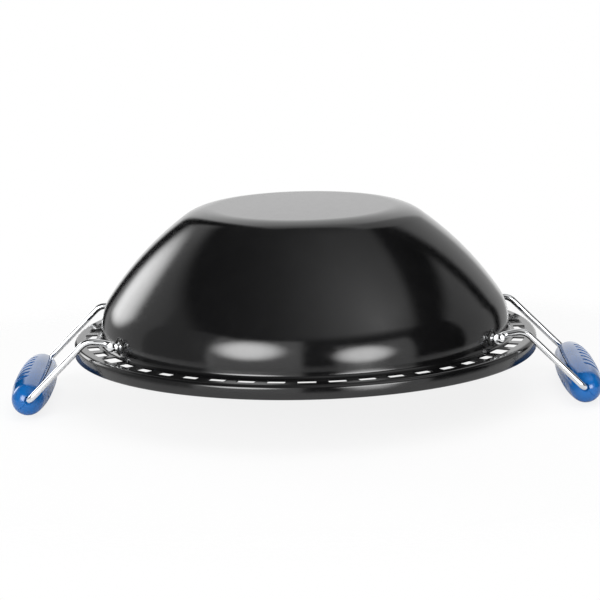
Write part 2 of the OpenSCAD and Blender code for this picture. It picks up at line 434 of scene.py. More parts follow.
def finish_piece(piece: Object, material: Material, body: str, node: str) -> None:
    """Shade a piece, scale it to metres, and fix it to its body.

    Args:
        piece: Object whose mesh is in mm.
        material: Finish of the piece.
        body: Body that the piece moves with.
        node: Node that the piece stands for.
    """
    mesh = piece.data
    mesh.transform(Matrix.Scale(MM, 4))
    mesh.shade_smooth()
    mesh.set_sharp_from_angle(angle=radians(SHARP_DEG))
    mesh.materials.clear()
    mesh.materials.append(material)
    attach(piece, body)
    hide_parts(node)
    log.info("%s: %d faces on %s", piece.name, len(mesh.polygons), body)


def turned_copy(right: Object, name: str) -> Object:
    """Copy a piece of the right side to the left side.

    Args:
        right: Piece of the right side.
        name: Name of the copy.

    Returns:
        The copy, turned half round Z.
    """
    left = bpy.data.objects.new(name, right.data.copy())
    bpy.context.scene.collection.objects.link(left)
    left.data.transform(Matrix.Rotation(pi, 4, "Z"))
    return left


def finish_on_handles(right: Object, left_name: str, material: Material, node: str) -> None:
    """Copy a piece of the right handle to the left handle, and finish both.

    Args:
        right: Piece of the right handle, whose mesh is in mm.
        left_name: Name of the copy.
        material: Finish of both pieces.
        node: Name of the nodes that the pieces stand for, without its side.
    """
    left = turned_copy(right, left_name)
    for side, piece in ((Side.LEFT, left), (Side.RIGHT, right)):
        finish_piece(piece, material, f"{side.label}_handle", f"{side.label}_{node}")


class NodeBoard:
    """A node tree, with short calls for the nodes that the finishes and the surround use."""

    def __init__(self, tree: NodeTree, coordinates: str) -> None:
        """Take a tree.

        Args:
            tree: Node tree of a material or of the surround.
            coordinates: Name of the coordinates that its patterns follow.
        """
        self.tree = tree
        self.coordinates = self.add("ShaderNodeTexCoord").outputs[coordinates]

    def put(self, socket: NodeSocket, value: object) -> None:
        """Link an input to another socket, or set its value.

        Args:
            socket: Input.
            value: Socket or plain value.
        """
        if isinstance(value, NodeSocket):
            self.tree.links.new(value, socket)
        else:
            socket.default_value = value

    def add(self, kind: str, *values: object, **inputs: object) -> Node:
        """Add a node and set or link its inputs.

        Args:
            kind: Type of the node.
            *values: Values or sockets in the order of the inputs.
            **inputs: Values or sockets by input name, with _ for a space.

        Returns:
            The node.
        """
        node = self.tree.nodes.new(kind)
        for socket, value in zip(node.inputs, values):
            self.put(socket, value)
        for name, value in inputs.items():
            self.put(node.inputs[name.replace("_", " ")], value)
        return node

    def calc(self, kind: Sum, first: NodeSocket, *others: object) -> NodeSocket:
        """Work values together, one after another.

        Args:
            kind: What is worked out.
            first: Value that the sum starts with.
            *others: Values or numbers that join it, none for a sum of one value.

        Returns:
            The result.
        """
        result = first
        for other in others or (0.0,):
            node = self.add("ShaderNodeMath", result, other)
            node.operation = kind.value
            result = node.outputs[0]
        return result

    def ramp(
        self, value: NodeSocket, start: float, stop: float,
        low: float = 0.0, high: float = 1.0, kind: RampKind = RampKind.EASED,
    ) -> NodeSocket:
        """Go from one number to another.

        Args:
            value: Value that drives the ramp.
            start: Value at which the ramp starts.
            stop: Value at which the ramp stops.
            low: Number before the start.
            high: Number after the stop.
            kind: How the ramp goes.

        Returns:
            The number.
        """
        node = self.add(
            "ShaderNodeMapRange", Value=value, From_Min=start, From_Max=stop, To_Min=low, To_Max=high
        )
        node.interpolation_type = kind.value
        return node.outputs["Result"]


class MaterialBoard(NodeBoard):
    """A material's node tree."""

    noise_low = 0.3
    noise_high = 0.7

    def __init__(self, name: str) -> None:
        """Make a material with one shader.

        Args:
            name: Name of the material.
        """
        self.material = bpy.data.materials.new(name)
        self.material.use_nodes = True
        super().__init__(self.material.node_tree, "Object")
        self.shader = self.tree.nodes["Principled BSDF"]

    def noise(self, per_metre: float, detail: float) -> NodeSocket:
        """Noise from 0 to 1 in the piece's own frame, with finer layers by its detail."""
        node = self.add("ShaderNodeTexNoise", Vector=self.coordinates, Scale=per_metre, Detail=detail)
        return node.outputs["Fac"]

    def spread(self, noise: NodeSocket, low: float, high: float) -> NodeSocket:
        """Spread the middle of a noise over a range of values."""
        return self.ramp(noise, self.noise_low, self.noise_high, low, high, RampKind.STEADY)

    def blend(self, share: NodeSocket, first: object, second: object) -> NodeSocket:
        """Blend two colours by a share.

        Args:
            share: Share of the second colour.
            first: Colour or socket at share 0.
            second: Colour or socket at share 1.

        Returns:
            The blended colour.
        """
        node = self.add("ShaderNodeMix", Factor=share)
        node.data_type = "RGBA"
        colours = [socket for socket in node.inputs if socket.type == "RGBA"]
        for socket, value in zip(colours, (first, second)):
            self.put(socket, value)
        return next(socket for socket in node.outputs if socket.type == "RGBA")

    def bump(self, height: NodeSocket, depth_mm: float) -> None:
        """Roughen the surface by a height of at most depth_mm."""
        node = self.add("ShaderNodeBump", Height=height, Strength=1.0, Distance=depth_mm * MM)
        self.put(self.shader.inputs["Normal"], node.outputs["Normal"])


@dataclass(frozen=True)
class Finish:
    """A finish with two colours in soft blotches, a range of roughness, a fine grain, and, where given, a
    painted shade colour in the finger grooves.
    """

    name: str
    colours: tuple[Colour, Colour]
    rough: tuple[float, float]
    blotch_per_m: float
    grain_per_m: float
    grain_mm: float
    metallic: float = 0.0
    ior: float = 1.5
    groove_shade_colour: Colour | None = None
    blotch_detail: float = 3.0
    grain_detail: float = 2.0

    def material(self) -> Material:
        """Build the finish.

        Returns:
            The material.
        """
        board = MaterialBoard(self.name)
        shader = board.shader.inputs
        shader["Metallic"].default_value = self.metallic
        shader["IOR"].default_value = self.ior
        blotch = board.noise(self.blotch_per_m, self.blotch_detail)
        grain = board.noise(self.grain_per_m, self.grain_detail)
        first, second = (opaque(colour) for colour in self.colours)
        colour = board.blend(board.spread(blotch, 0.0, 1.0), first, second)
        # Painted shade: the finger grooves are blended towards a deep navy that stands in for the shade
        # falling in them.
        if self.groove_shade_colour:
            groove = board.add("ShaderNodeAttribute")
            groove.attribute_name = GROOVE_SHADE_LAYER
            colour = board.blend(groove.outputs["Fac"], colour, opaque(self.groove_shade_colour))
        board.put(shader["Base Color"], colour)
        board.put(shader["Roughness"], board.spread(grain, *self.rough))
        board.bump(grain, self.grain_mm)
        return board.material


ENAMEL = Finish(
    "black_enamel", colours=((0.0030, 0.0030, 0.0032), (0.0040, 0.0040, 0.0042)), rough=(0.10, 0.15),
    blotch_per_m=60.0, grain_per_m=220.0, grain_mm=0.006, ior=1.55,
)
CHROME = Finish(
    "chrome_plate", colours=((0.80, 0.81, 0.82), (0.74, 0.75, 0.76)), rough=(0.05, 0.10),
    blotch_per_m=140.0, grain_per_m=900.0, grain_mm=0.001, metallic=1.0,
)
# The blue plastic's groove colour is painted shade in the finger grooves.
PLASTIC = Finish(
    "blue_plastic", colours=((0.003, 0.082, 0.27), (0.004, 0.092, 0.31)), rough=(0.06, 0.10),
    blotch_per_m=90.0, grain_per_m=700.0, grain_mm=0.003, groove_shade_colour=(0.001, 0.008, 0.045),
)
RUBBER = Finish(
    "seal_rubber", colours=((0.018, 0.018, 0.018), (0.030, 0.030, 0.029)), rough=(0.55, 0.75),
    blotch_per_m=300.0, grain_per_m=2500.0, grain_mm=0.02,
)
ZINC = Finish(
    "zinc_plate", colours=((0.50, 0.51, 0.52), (0.60, 0.60, 0.58)), rough=(0.22, 0.38),
    blotch_per_m=250.0, grain_per_m=1800.0, grain_mm=0.004, metallic=1.0,
)


@dataclass(frozen=True)
class FaceSteps:
    """Number of edges in each stroke of a face of the dome's sheet, from the top to the rim."""

    top: int
    shoulder: int
    side: int
    belly: int
    foot: int
    fillet: int
    edge: int


@dataclass
class DomeSheet:
    """The pressed dome: one sheet with foot, slotted flange, skirt and folded hem. Sizes in mm."""

    places: Places
    sheet: float = 1.2
    belly_r: float = 40.0
    belly_lean: float = 34.0
    side_r: float = 250.0
    side_lean: float = 53.5
    shoulder_r: float = 40.0
    flange_w: float = 21.3
    flange_h: float = 10.7
    foot_fillet: float = 3.0
    edge_r: float = 3.0
    flat_strip: float = 0.8
    hem_h: float = 4.0
    hem_t: float = 2.6
    hem_proud: float = 0.4
    hem_round: float = 1.5
    hem_fade: float = 2.5
    slot_count: int = 48
    slot_size: tuple[float, float] = (9.0, 13.5)
    slot_mid_r: float = 167.5
    slot_corner: float = 1.2
    lug_slot_size: tuple[float, float] = (11.6, 17.5)
    lug_slot_mid_r: float = 166.6
    seat_r: float = 6.0
    seat_sink: float = 0.35
    seat_fade: float = 1.2
    seat_reach: float = 9.0
    seat_cuts: int = 4
    slot_tool_sheets: int = 3
    hole_tool_sheets: int = 8
    hole_sides: int = 24
    turns: int = 384
    hem_steps: int = 8
    outer: FaceSteps = FaceSteps(top=3, shoulder=12, side=10, belly=14, foot=3, fillet=8, edge=7)
    inner: FaceSteps = FaceSteps(top=2, shoulder=8, side=8, belly=14, foot=3, fillet=8, edge=5)

    def __post_init__(self) -> None:
        """Work out the middles of the sheet's curves, as (distance from the axis, height)."""
        self.rim_r = self.places.hem_r - self.hem_proud
        self.height = self.places.top_z - self.places.rim_z
        self.pivot_h = self.places.pivot_z - self.places.rim_z
        self.foot_r = self.rim_r - self.flange_w
        belly, side = radians(self.belly_lean), radians(self.side_lean)
        self.flat_r = (
            self.foot_r - self.belly_r * (1 - cos(belly))
            - self.side_r * (cos(belly) - cos(side)) - self.shoulder_r * cos(side)
        )
        self.shoulder_c = Vector((self.flat_r, self.height - self.shoulder_r))
        self.side_c = self.shoulder_c + (self.shoulder_r - self.side_r) * Vector((cos(side), sin(side)))
        self.belly_c = self.side_c + (self.side_r - self.belly_r) * Vector((cos(belly), sin(belly)))
        self.fillet_c = Vector((self.foot_r + self.foot_fillet, self.flange_h + self.foot_fillet))
        self.edge_c = Vector((self.rim_r - self.edge_r, self.flange_h - self.edge_r))
        upper_r = self._wall_r(self.pivot_h + self.seat_r, 0.0)
        self.seat_d = sqrt(upper_r ** 2 - self.seat_r ** 2) - self.seat_sink

    def _outer_line(self) -> ProfilePen:
        """Draw the outer face of the sheet, from the middle of the top to the skirt.

        Returns:
            The pen, at the skirt. Narrow strips beside the curves keep the flat faces flat.
        """
        strip, steps = self.flat_strip, self.outer
        pen = ProfilePen(0.0, self.height)
        pen.line(self.flat_r - strip, self.height, steps.top).line(self.flat_r, self.height)
        pen.arc(*self.shoulder_c, 90.0 - self.side_lean, steps.shoulder)
        pen.arc(*self.side_c, self.side_lean - self.belly_lean, steps.side)
        pen.arc(*self.belly_c, self.belly_lean, steps.belly)
        pen.line(self.foot_r, self.fillet_c.y, steps.foot).arc(*self.fillet_c, -90.0, steps.fillet)
        pen.line(self.fillet_c.x + strip / 2, self.flange_h)
        pen.line(self.edge_c.x - strip / 2, self.flange_h).line(self.edge_c.x, self.flange_h)
        return pen.arc(*self.edge_c, 90.0, steps.edge)

    def _hem_line(self, pen: ProfilePen) -> None:
        """Draw the folded hem, from the skirt's outer face to its inner face.

        Args:
            pen: Pen at the skirt's outer face.
        """
        outer, inner = self.rim_r + self.hem_proud, self.rim_r - self.hem_t
        middle = (outer + inner) / 2
        pen.line(self.rim_r, self.hem_h + self.hem_fade).line(outer, self.hem_h - self.hem_fade)
        pen.line(outer, self.hem_round).arc(middle, self.hem_round, 180.0, self.hem_steps)
        pen.line(inner, self.hem_h - self.hem_proud).line(inner + self.hem_proud, self.hem_h)
        pen.line(self.rim_r - self.sheet, self.hem_h)

    def _inner_line(self, pen: ProfilePen) -> None:
        """Draw the inner face of the sheet, from the skirt to the middle of the top.

        Args:
            pen: Pen at the skirt's inner face.
        """
        steps = self.inner
        pen.line(self.rim_r - self.sheet, self.edge_c.y).arc(*self.edge_c, -90.0, steps.edge)
        pen.line(self.fillet_c.x, self.flange_h - self.sheet).arc(*self.fillet_c, 90.0, steps.fillet)
        pen.line(self.foot_r - self.sheet, self.belly_c.y, steps.foot)
        pen.arc(*self.belly_c, -self.belly_lean, steps.belly)
        pen.arc(*self.side_c, self.belly_lean - self.side_lean, steps.side)
        pen.arc(*self.shoulder_c, self.side_lean - 90.0, steps.shoulder)
        pen.line(0.0, self.height - self.sheet, steps.top)

    def _wall_r(self, z: float, inside: float) -> float:
        """Radius of the wall's lower part.

        Args:
            z: Height above the rim's lower edge, in mm.
            inside: Depth of the wanted face inside the outer face, in mm.

        Returns:
            The radius in mm.
        """
        if z >= self.belly_c.y:
            return self.belly_c.x + sqrt((self.belly_r - inside) ** 2 - (z - self.belly_c.y) ** 2)
        if z >= self.fillet_c.y:
            return self.foot_r - inside
        drop = min(self.fillet_c.y - z, self.foot_fillet + inside)
        return self.fillet_c.x - sqrt((self.foot_fillet + inside) ** 2 - drop ** 2)

    def _press_seat(self, bm: BMesh, to_dome: Matrix) -> None:
        """Press a round flat seat for a lug into the wall.

        Args:
            bm: Mesh of the sheet, with the rim's lower edge at height 0.
            to_dome: Turn of the seat's own frame, whose X leaves the dome.
        """
        to_seat = to_dome.inverted()
        outer_r = self.fillet_c.x - MERGE_MM

        def away(place: Vector) -> float:
            """Distance of a place from the seat's axis, without end on the far side of the dome."""
            return hypot(place.y, place.z - self.pivot_h) if place.x > 0 else inf

        def in_reach(place: Vector) -> bool:
            """Whether the seat's press reaches a place in the dome's frame."""
            return place.xy.length < outer_r and away(to_seat @ place) < self.seat_reach

        near = [face for face in bm.faces if in_reach(face.calc_center_median())]
        edges = list({edge for face in near for edge in face.edges})
        bmesh.ops.subdivide_edges(bm, edges=edges, cuts=self.seat_cuts, use_grid_fill=True)
        for vert in (v for v in bm.verts if in_reach(v.co)):
            inside = 0.0 if vert.co.xy.length > self._wall_r(vert.co.z, self.sheet / 2) else self.sheet
            place = to_seat @ vert.co
            wall_x = sqrt(self._wall_r(place.z, inside) ** 2 - place.y ** 2)
            pressed = 1.0 - smooth_step(self.seat_r, self.seat_r + self.seat_fade, away(place))
            place.x = wall_x + (self.seat_d - inside - wall_x) * pressed
            vert.co = to_dome @ place

    def _slots(self) -> BMesh:
        """Shape the vent slots, which are larger under the lugs.

        Returns:
            The cutting tools, with the rim's lower edge at height 0.
        """
        bm = bmesh.new()
        pitch, half = 360.0 / self.slot_count, self.slot_count // 2
        lug_slot = round(degrees(atan2(self.places.eye_y, self.places.pivot_x)) / pitch)
        large = {lug_slot, half - lug_slot, half + lug_slot, self.slot_count - lug_slot}
        for index in range(self.slot_count):
            size, middle = self.slot_size, self.slot_mid_r
            if index in large:
                size, middle = self.lug_slot_size, self.lug_slot_mid_r
            out = Matrix.Translation((middle, 0.0, self.flange_h - self.sheet / 2))
            place = Matrix.Rotation(radians(index * pitch), 4, "Z") @ out
            rounded_box(bm, Vector((*size, self.slot_tool_sheets * self.sheet)), place, self.slot_corner)
        return bm

    def _shank_holes(self) -> BMesh:
        """Shape the holes of the lugs' shanks.

        Returns:
            The cutting tools, with the rim's lower edge at height 0.
        """
        bm = bmesh.new()
        radius = SHANK_R + FIX_GAP
        out = Matrix.Translation((self.seat_d, 0.0, self.pivot_h)) @ Matrix.Rotation(pi / 2, 4, "Y")
        for side, end in PIVOTS:
            bmesh.ops.create_cone(
                bm, cap_ends=True, segments=self.hole_sides, radius1=radius, radius2=radius,
                depth=self.hole_tool_sheets * self.sheet, matrix=self.places.lug_turn(end, side) @ out,
            )
        return bm

    def build(self, material: Material) -> None:
        """Build and dress the sheet.

        Args:
            material: Enamel.
        """
        pen = self._outer_line()
        self._hem_line(pen)
        self._inner_line(pen)
        bm = pen.spin(self.turns)
        for side, end in PIVOTS:
            self._press_seat(bm, self.places.lug_turn(end, side))
        bmesh.ops.recalc_face_normals(bm, faces=bm.faces[:])
        piece = new_piece("pressed_dome", bm)
        cut(piece, self._slots())
        cut(piece, self._shank_holes())
        piece.data.transform(Matrix.Translation((0.0, 0.0, self.places.rim_z)))
        finish_piece(piece, material, "dome", "dome_shell")


@dataclass
class HandleShape:
    """Line of a handle's wire at rest, on the right side. Sizes in mm, angles in degrees."""

    places: Places
    rim_r: float
    elbow_in: float = 1.6
    arm_rise: float = 9.0
    leg_len: float = 65.0
    leg_drop: float = 45.0
    grip_shift: float = 3.0

    def __post_init__(self) -> None:
        """Work out the directions and the corners of the wire."""
        rise, drop = radians(self.arm_rise), radians(self.leg_drop)
        self.arm_dir = Vector((cos(rise), 0.0, sin(rise)))
        self.arm_down = Vector((sin(rise), 0.0, -cos(rise)))
        self.leg_dir = Vector((cos(drop), 0.0, -sin(drop)))
        self.pivot = Vector((self.places.pivot_x, 0.0, self.places.pivot_z))
        elbow_x = sqrt(self.rim_r ** 2 - LEG_Y ** 2) - self.elbow_in
        self.arm_len = (elbow_x - self.pivot.x) / cos(rise)
        self.elbow = self.pivot + self.arm_len * self.arm_dir
        self.bar = self.elbow + self.leg_len * self.leg_dir
        self.grip_mid = self.bar + self.grip_shift * self.leg_dir

    def grip_place(self) -> Matrix:
        """Frame of the grip: Y along the bar, X along the leg, Z out of the split."""
        return Matrix.Translation(self.grip_mid) @ Matrix.Rotation(radians(self.leg_drop), 4, "Y")


@dataclass
class BailWire:
    """Bent wire of one handle: two pins with flattened heads, two arms, two legs and a bar. In mm."""

    shape: HandleShape
    elbow_r: float = 12.0
    corner_r: float = 6.0
    head_gap: float = 0.35
    head_t: float = 1.2
    head_r: float = 3.4
    head_round: float = 0.3
    sides: int = 32
    pivot_steps: int = 12
    elbow_steps: int = 14
    corner_steps: int = 14

    def _half(self) -> BMesh:
        """Draw the rear half of the wire, from its head to the middle of the bar.

        Returns:
            The mesh, open at the middle of the bar.
        """
        shape = self.shape
        out, inwards = Vector((0.0, 1.0, 0.0)), Vector((0.0, -1.0, 0.0))
        elbow_turn = shape.arm_rise + shape.leg_drop
        elbow_way = self.elbow_r * tan(radians(elbow_turn / 2))
        pin_end = EYE_Y + EYE_T / 2 + self.head_gap
        face_r = self.head_r - 2 * self.head_round
        pen = TubePen(shape.pivot + (pin_end + self.head_t) * out, inwards, face_r, self.sides)
        pen.cap()
        pen.straight(self.head_round * inwards, self.head_r / face_r)
        pen.straight((self.head_t - 2 * self.head_round) * inwards)
        pen.straight(self.head_round * inwards, face_r / self.head_r)
        pen.straight(Vector(), WIRE_R / face_r)
        pen.straight((pin_end - LEG_Y - PIVOT_BEND_R) * inwards)
        pen.bend(PIVOT_BEND_R, inwards, shape.arm_dir, 90.0, self.pivot_steps)
        pen.straight((shape.arm_len - elbow_way - PIVOT_BEND_R) * shape.arm_dir)
        pen.bend(self.elbow_r, shape.arm_dir, shape.arm_down, elbow_turn, self.elbow_steps)
        pen.straight((shape.leg_len - elbow_way - self.corner_r) * shape.leg_dir)
        pen.bend(self.corner_r, shape.leg_dir, inwards, 90.0, self.corner_steps)
        pen.straight((LEG_Y - self.corner_r) * inwards)
        return pen.bm

    def build(self, material: Material) -> None:
        """Build and dress both handles' wires.

        Args:
            material: Chrome plate.
        """
        bm = self._half()
        bmesh.ops.mirror(bm, geom=all_of(bm), axis="Y", merge_dist=MERGE_MM)
        close_skin(bm)
        finish_on_handles(new_piece("right_wire", bm), "left_wire", material, "bail_wire")


@dataclass
class Grip:
    """Barrel grip of one handle, moulded in two halves that close round the wire. Sizes in mm."""

    shape: HandleShape
    mid_r: float = 15.0
    end_r: float = 12.5
    half_l: float = 63.0
    straight: float = 8.0
    bore_gap: float = 0.15
    mouth_r: float = 3.6
    mouth_l: float = 1.2
    mouth_flare: float = 1.0
    tool_past: float = 2.0
    slit_w: float = 0.8
    groove_count: int = 7
    groove_pitch: float = 11.0
    groove_w: float = 4.5
    groove_depth: float = 1.3
    groove_start: float = 48.0
    groove_end: float = 160.0
    groove_fade: float = 8.0
    groove_tip_share: float = 0.35
    groove_floor_share: float = 0.45
    skin_reach: float = 0.1
    seam: float = 0.25
    screw_at: tuple[float, float] = (6.0, 27.5)
    screw_hole_r: float = 1.55
    screw_head_r: float = 2.85
    screw_head_z: float = 5.0
    screw_l: float = 11.0
    turns: int = 128
    ball_steps: int = 16
    arc_steps: int = 90
    straight_steps: int = 28

    def __post_init__(self) -> None:
        """Work out the barrel's arc from the grip's radii and length."""
        self.ball_y = self.half_l - self.end_r
        arc_y = self.ball_y - self.straight
        self.barrel_r = (arc_y ** 2 + self.mid_r ** 2 - self.end_r ** 2) / (2 * (self.mid_r - self.end_r))
        self.barrel_angle = degrees(atan2(arc_y, self.barrel_r - self.mid_r))

    def _barrel_at(self, y: float) -> float:
        """Radius of the grip without its grooves.

        Args:
            y: Distance from the grip's middle along its axis, in mm.

        Returns:
            The radius in mm.
        """
        past = max(0.0, abs(y) - self.straight)
        if past < self.barrel_r * sin(radians(self.barrel_angle)):
            return self.mid_r - self.barrel_r + sqrt(self.barrel_r ** 2 - past ** 2)
        return sqrt(max(0.0, self.end_r ** 2 - (abs(y) - self.ball_y) ** 2))

    def _groove_share(self, place: Vector) -> float:
        """How deep a finger groove is at a place on the grip.

        Args:
            place: Place in the grip's own frame.

        Returns:
            Share of the full depth, from 0 to 1.
        """
        angle = degrees(atan2(abs(place.z), -place.x))
        ends = smooth_step(self.groove_start, self.groove_start + self.groove_fade, angle)
        ends *= 1.0 - smooth_step(self.groove_end - self.groove_fade, self.groove_end, angle)
        last = (self.groove_count - 1) / 2
        nearest = max(-last, min(last, round(place.y / self.groove_pitch - last) + last))
        aside = abs(place.y - nearest * self.groove_pitch)
        tip = self.groove_tip_share
        half_w = self.groove_w / 2 * (tip + (1.0 - tip) * ends)
        return ends * (1.0 - smooth_step(self.groove_floor_share * half_w, half_w, aside))

    def _body(self) -> BMesh:
        """Spin the whole grip about Y and press the finger grooves into it.

        Returns:
            The mesh, in the grip's own frame.
        """
        ball_turn = 90.0 - self.barrel_angle
        barrel_x = self.mid_r - self.barrel_r
        pen = ProfilePen(0.0, -self.half_l)
        pen.arc(0.0, -self.ball_y, -ball_turn, self.ball_steps)
        pen.arc(barrel_x, -self.straight, -self.barrel_angle, self.arc_steps)
        pen.line(self.mid_r, self.straight, self.straight_steps)
        pen.arc(barrel_x, self.straight, -self.barrel_angle, self.arc_steps)
        pen.arc(0.0, self.ball_y, -ball_turn, self.ball_steps)
        bm = pen.spin(self.turns, Laid.ALONG_Y)
        for vert in bm.verts:
            depth = self.groove_depth * self._groove_share(vert.co)
            radius = hypot(vert.co.x, vert.co.z)
            if depth > 0.0 and radius > self.end_r / 2:
                vert.co.x *= (radius - depth) / radius
                vert.co.z *= (radius - depth) / radius
        return bm

    def _bore(self) -> BMesh:
        """Shape the wire's bore, which flares where the wire leaves.

        Returns:
            The cutting tool, in the grip's own frame.
        """
        bore_r, reach = WIRE_R + self.bore_gap, self.half_l + self.tool_past
        flare_r = self.mouth_r + self.mouth_flare
        mouth_y = sqrt(self.end_r ** 2 - self.shape.grip_shift ** 2) + self.ball_y
        pen = ProfilePen(0.0, -reach)
        pen.line(flare_r, -reach).line(self.mouth_r, -mouth_y)
        pen.line(bore_r, self.mouth_l - mouth_y).line(bore_r, mouth_y - self.mouth_l)
        pen.line(self.mouth_r, mouth_y).line(flare_r, reach).line(0.0, reach)
        bm = pen.spin(ROUND_SIDES, Laid.ALONG_Y)
        shift(bm, -self.shape.grip_shift, 0.0)
        return bm

    def _slit(self) -> BMesh:
        """Shape the slit on the side that faces the pivot.

        Returns:
            The cutting tool, in the grip's own frame.
        """
        bm = bmesh.new()
        width, length = self.mid_r, 2 * (self.half_l + self.tool_past)
        verts = bmesh.ops.create_cube(bm, size=1.0)["verts"]
        bmesh.ops.scale(bm, verts=verts, vec=(width, length, self.slit_w))
        shift(bm, -self.shape.grip_shift - width / 2, 0.0)
        return bm

    def _screw_holes(self) -> BMesh:
        """Shape the two stepped screw holes, which open on the lower face.

        Returns:
            The cutting tools, in the grip's own frame.
        """
        below, screw_end = -2 * self.mid_r, self.screw_l - self.screw_head_z
        pen = ProfilePen(0.0, below)
        pen.line(self.screw_head_r, below).line(self.screw_head_r, -self.screw_head_z)
        pen.line(self.screw_hole_r, -self.screw_head_z)
        pen.line(self.screw_hole_r, screw_end).line(0.0, screw_end)
        bm = pen.spin(ROUND_SIDES)
        shift(bm, *self.screw_at)
        bmesh.ops.mirror(bm, geom=all_of(bm), axis="Y", merge_dist=MERGE_MM)
        close_skin(bm)
        return bm

    def _split(self, bm: BMesh, half: Half) -> None:
        """Keep one half of the grip and draw the edge of its split face in, for the parting line.

        Args:
            bm: Mesh of the whole grip.
            half: Half to keep.
        """
        for height, clear in ((self.seam, False), (0.0, True)):
            cut_line = bmesh.ops.bisect_plane(
                bm, geom=all_of(bm), dist=MERGE_MM, clear_inner=clear,
                plane_co=(0.0, 0.0, half.value * height), plane_no=(0.0, 0.0, half.value),
            )["geom_cut"]
        bm.normal_update()
        for vert in only(BMVert, cut_line):
            vert.co -= self.seam * Vector((*vert.normal.xy, 0.0))
        bmesh.ops.contextual_create(bm, geom=only(BMEdge, cut_line))
        bmesh.ops.recalc_face_normals(bm, faces=bm.faces[:])

    def _mark_grooves(self, piece: Object) -> None:
        """Write on each vertex how deep the finger groove is there, for the painted shade that the finish
        puts in the grooves.

        Args:
            piece: Half of a grip, in the grip's own frame.
        """
        layer = piece.data.attributes.new(GROOVE_SHADE_LAYER, "FLOAT", "POINT")
        for vert, mark in zip(piece.data.vertices, layer.data):
            groove_floor = self._barrel_at(vert.co.y) - self.groove_depth
            on_skin = hypot(vert.co.x, vert.co.z) > groove_floor - self.skin_reach
            mark.value = self._groove_share(vert.co) if on_skin else 0.0

    def build(self, material: Material) -> None:
        """Build and dress both halves of both handles' grips.

        Args:
            material: Blue plastic.
        """
        whole = self._body()
        for half in Half:
            bm = whole.copy()
            self._split(bm, half)
            node = f"grip_{half.label}"
            right = new_piece(f"right_{node}_half", bm)
            for tool in (self._slit(), self._bore(), self._screw_holes()):
                cut(right, tool)
            self._mark_grooves(right)
            right.data.transform(self.shape.grip_place())
            finish_on_handles(right, f"left_{node}_half", material, node)
        whole.free()


@dataclass
class PivotLug:
    """Eye bolt that carries one end of a wire: eye, neck, collar and shank. Sizes in mm."""

    places: Places
    dome: DomeSheet
    seal_t: float = 0.8
    under_seat: float = 5.0
    eye_r: float = 4.2
    eye_round: float = 0.6
    run_gap: float = 0.08
    neck_r: float = 2.0
    neck_fillet: float = 0.6
    collar_r: float = 3.4
    collar_t: float = 0.6
    collar_round: float = 0.2
    collar_steps: int = 4
    round_steps: int = 5
    eye_sides: int = 48

    def __post_init__(self) -> None:
        """Work out the eye's bore, which the wire turns in."""
        self.bore_r = WIRE_R + self.run_gap

    def _stem(self) -> BMesh:
        """Spin the shank, the collar and the neck about X, which leaves the dome.

        Returns:
            The mesh, at the height of the pivot.
        """
        shank_d = self.dome.seat_d - self.dome.sheet - self.under_seat
        collar_d = self.dome.seat_d + FIX_GAP + self.seal_t
        collar_end = collar_d + self.collar_t
        neck_end = hypot(self.places.pivot_x, self.places.eye_y) - (self.bore_r + self.eye_r) / 2
        edge, fillet_x = self.collar_r - self.collar_round, self.neck_r + self.neck_fillet
        pen = ProfilePen(0.0, shank_d)
        pen.line(SHANK_R, shank_d).line(SHANK_R, collar_d).line(edge, collar_d)
        pen.arc(edge, collar_d + self.collar_round, -90.0, self.collar_steps)
        pen.line(self.collar_r, collar_end - self.collar_round)
        pen.arc(edge, collar_end - self.collar_round, -90.0, self.collar_steps)
        pen.line(fillet_x, collar_end)
        pen.arc(fillet_x, collar_end + self.neck_fillet, 90.0, self.round_steps)
        pen.line(self.neck_r, neck_end).line(0.0, neck_end)
        return pen.spin(ROUND_SIDES, Laid.ALONG_X)

    def _eye(self, end: End) -> BMesh:
        """Spin the eye's rounded section about Y.

        Args:
            end: End of the right handle that the eye carries.

        Returns:
            The mesh, at the height of the pivot.
        """
        half, edge = EYE_T / 2, self.eye_round
        inner, outer = self.bore_r + edge, self.eye_r - edge
        pen = ProfilePen(inner, half)
        pen.line(outer, half).arc(outer, half - edge, 90.0, self.round_steps)
        pen.line(self.eye_r, edge - half).arc(outer, edge - half, 90.0, self.round_steps)
        pen.line(inner, -half).arc(inner, edge - half, 90.0, self.round_steps)
        pen.line(self.bore_r, half - edge).arc(inner, half - edge, 90.0, self.round_steps)
        bm = pen.spin(self.eye_sides, Laid.ALONG_Y)
        shift(bm, self.places.pivot_x, end.value * self.places.eye_y)
        return bm

    def build(self, material: Material) -> None:
        """Build and dress all four lugs.

        Args:
            material: Chrome plate.
        """
        for end in End:
            stem = self._stem()
            bmesh.ops.transform(stem, matrix=self.places.lug_turn(end), verts=stem.verts[:])
            right_place, left_place = f"right_{end.label}", f"left_{End(-end.value).label}"
            right = new_piece(f"{right_place}_eye_bolt", stem)
            cut(right, self._eye(end), CutKind.JOIN)
            right.data.transform(Matrix.Translation((0.0, 0.0, self.places.pivot_z)))
            left = turned_copy(right, f"{left_place}_eye_bolt")
            for piece, place in ((right, right_place), (left, left_place)):
                finish_piece(piece, material, "dome", f"{place}_pivot_lug")


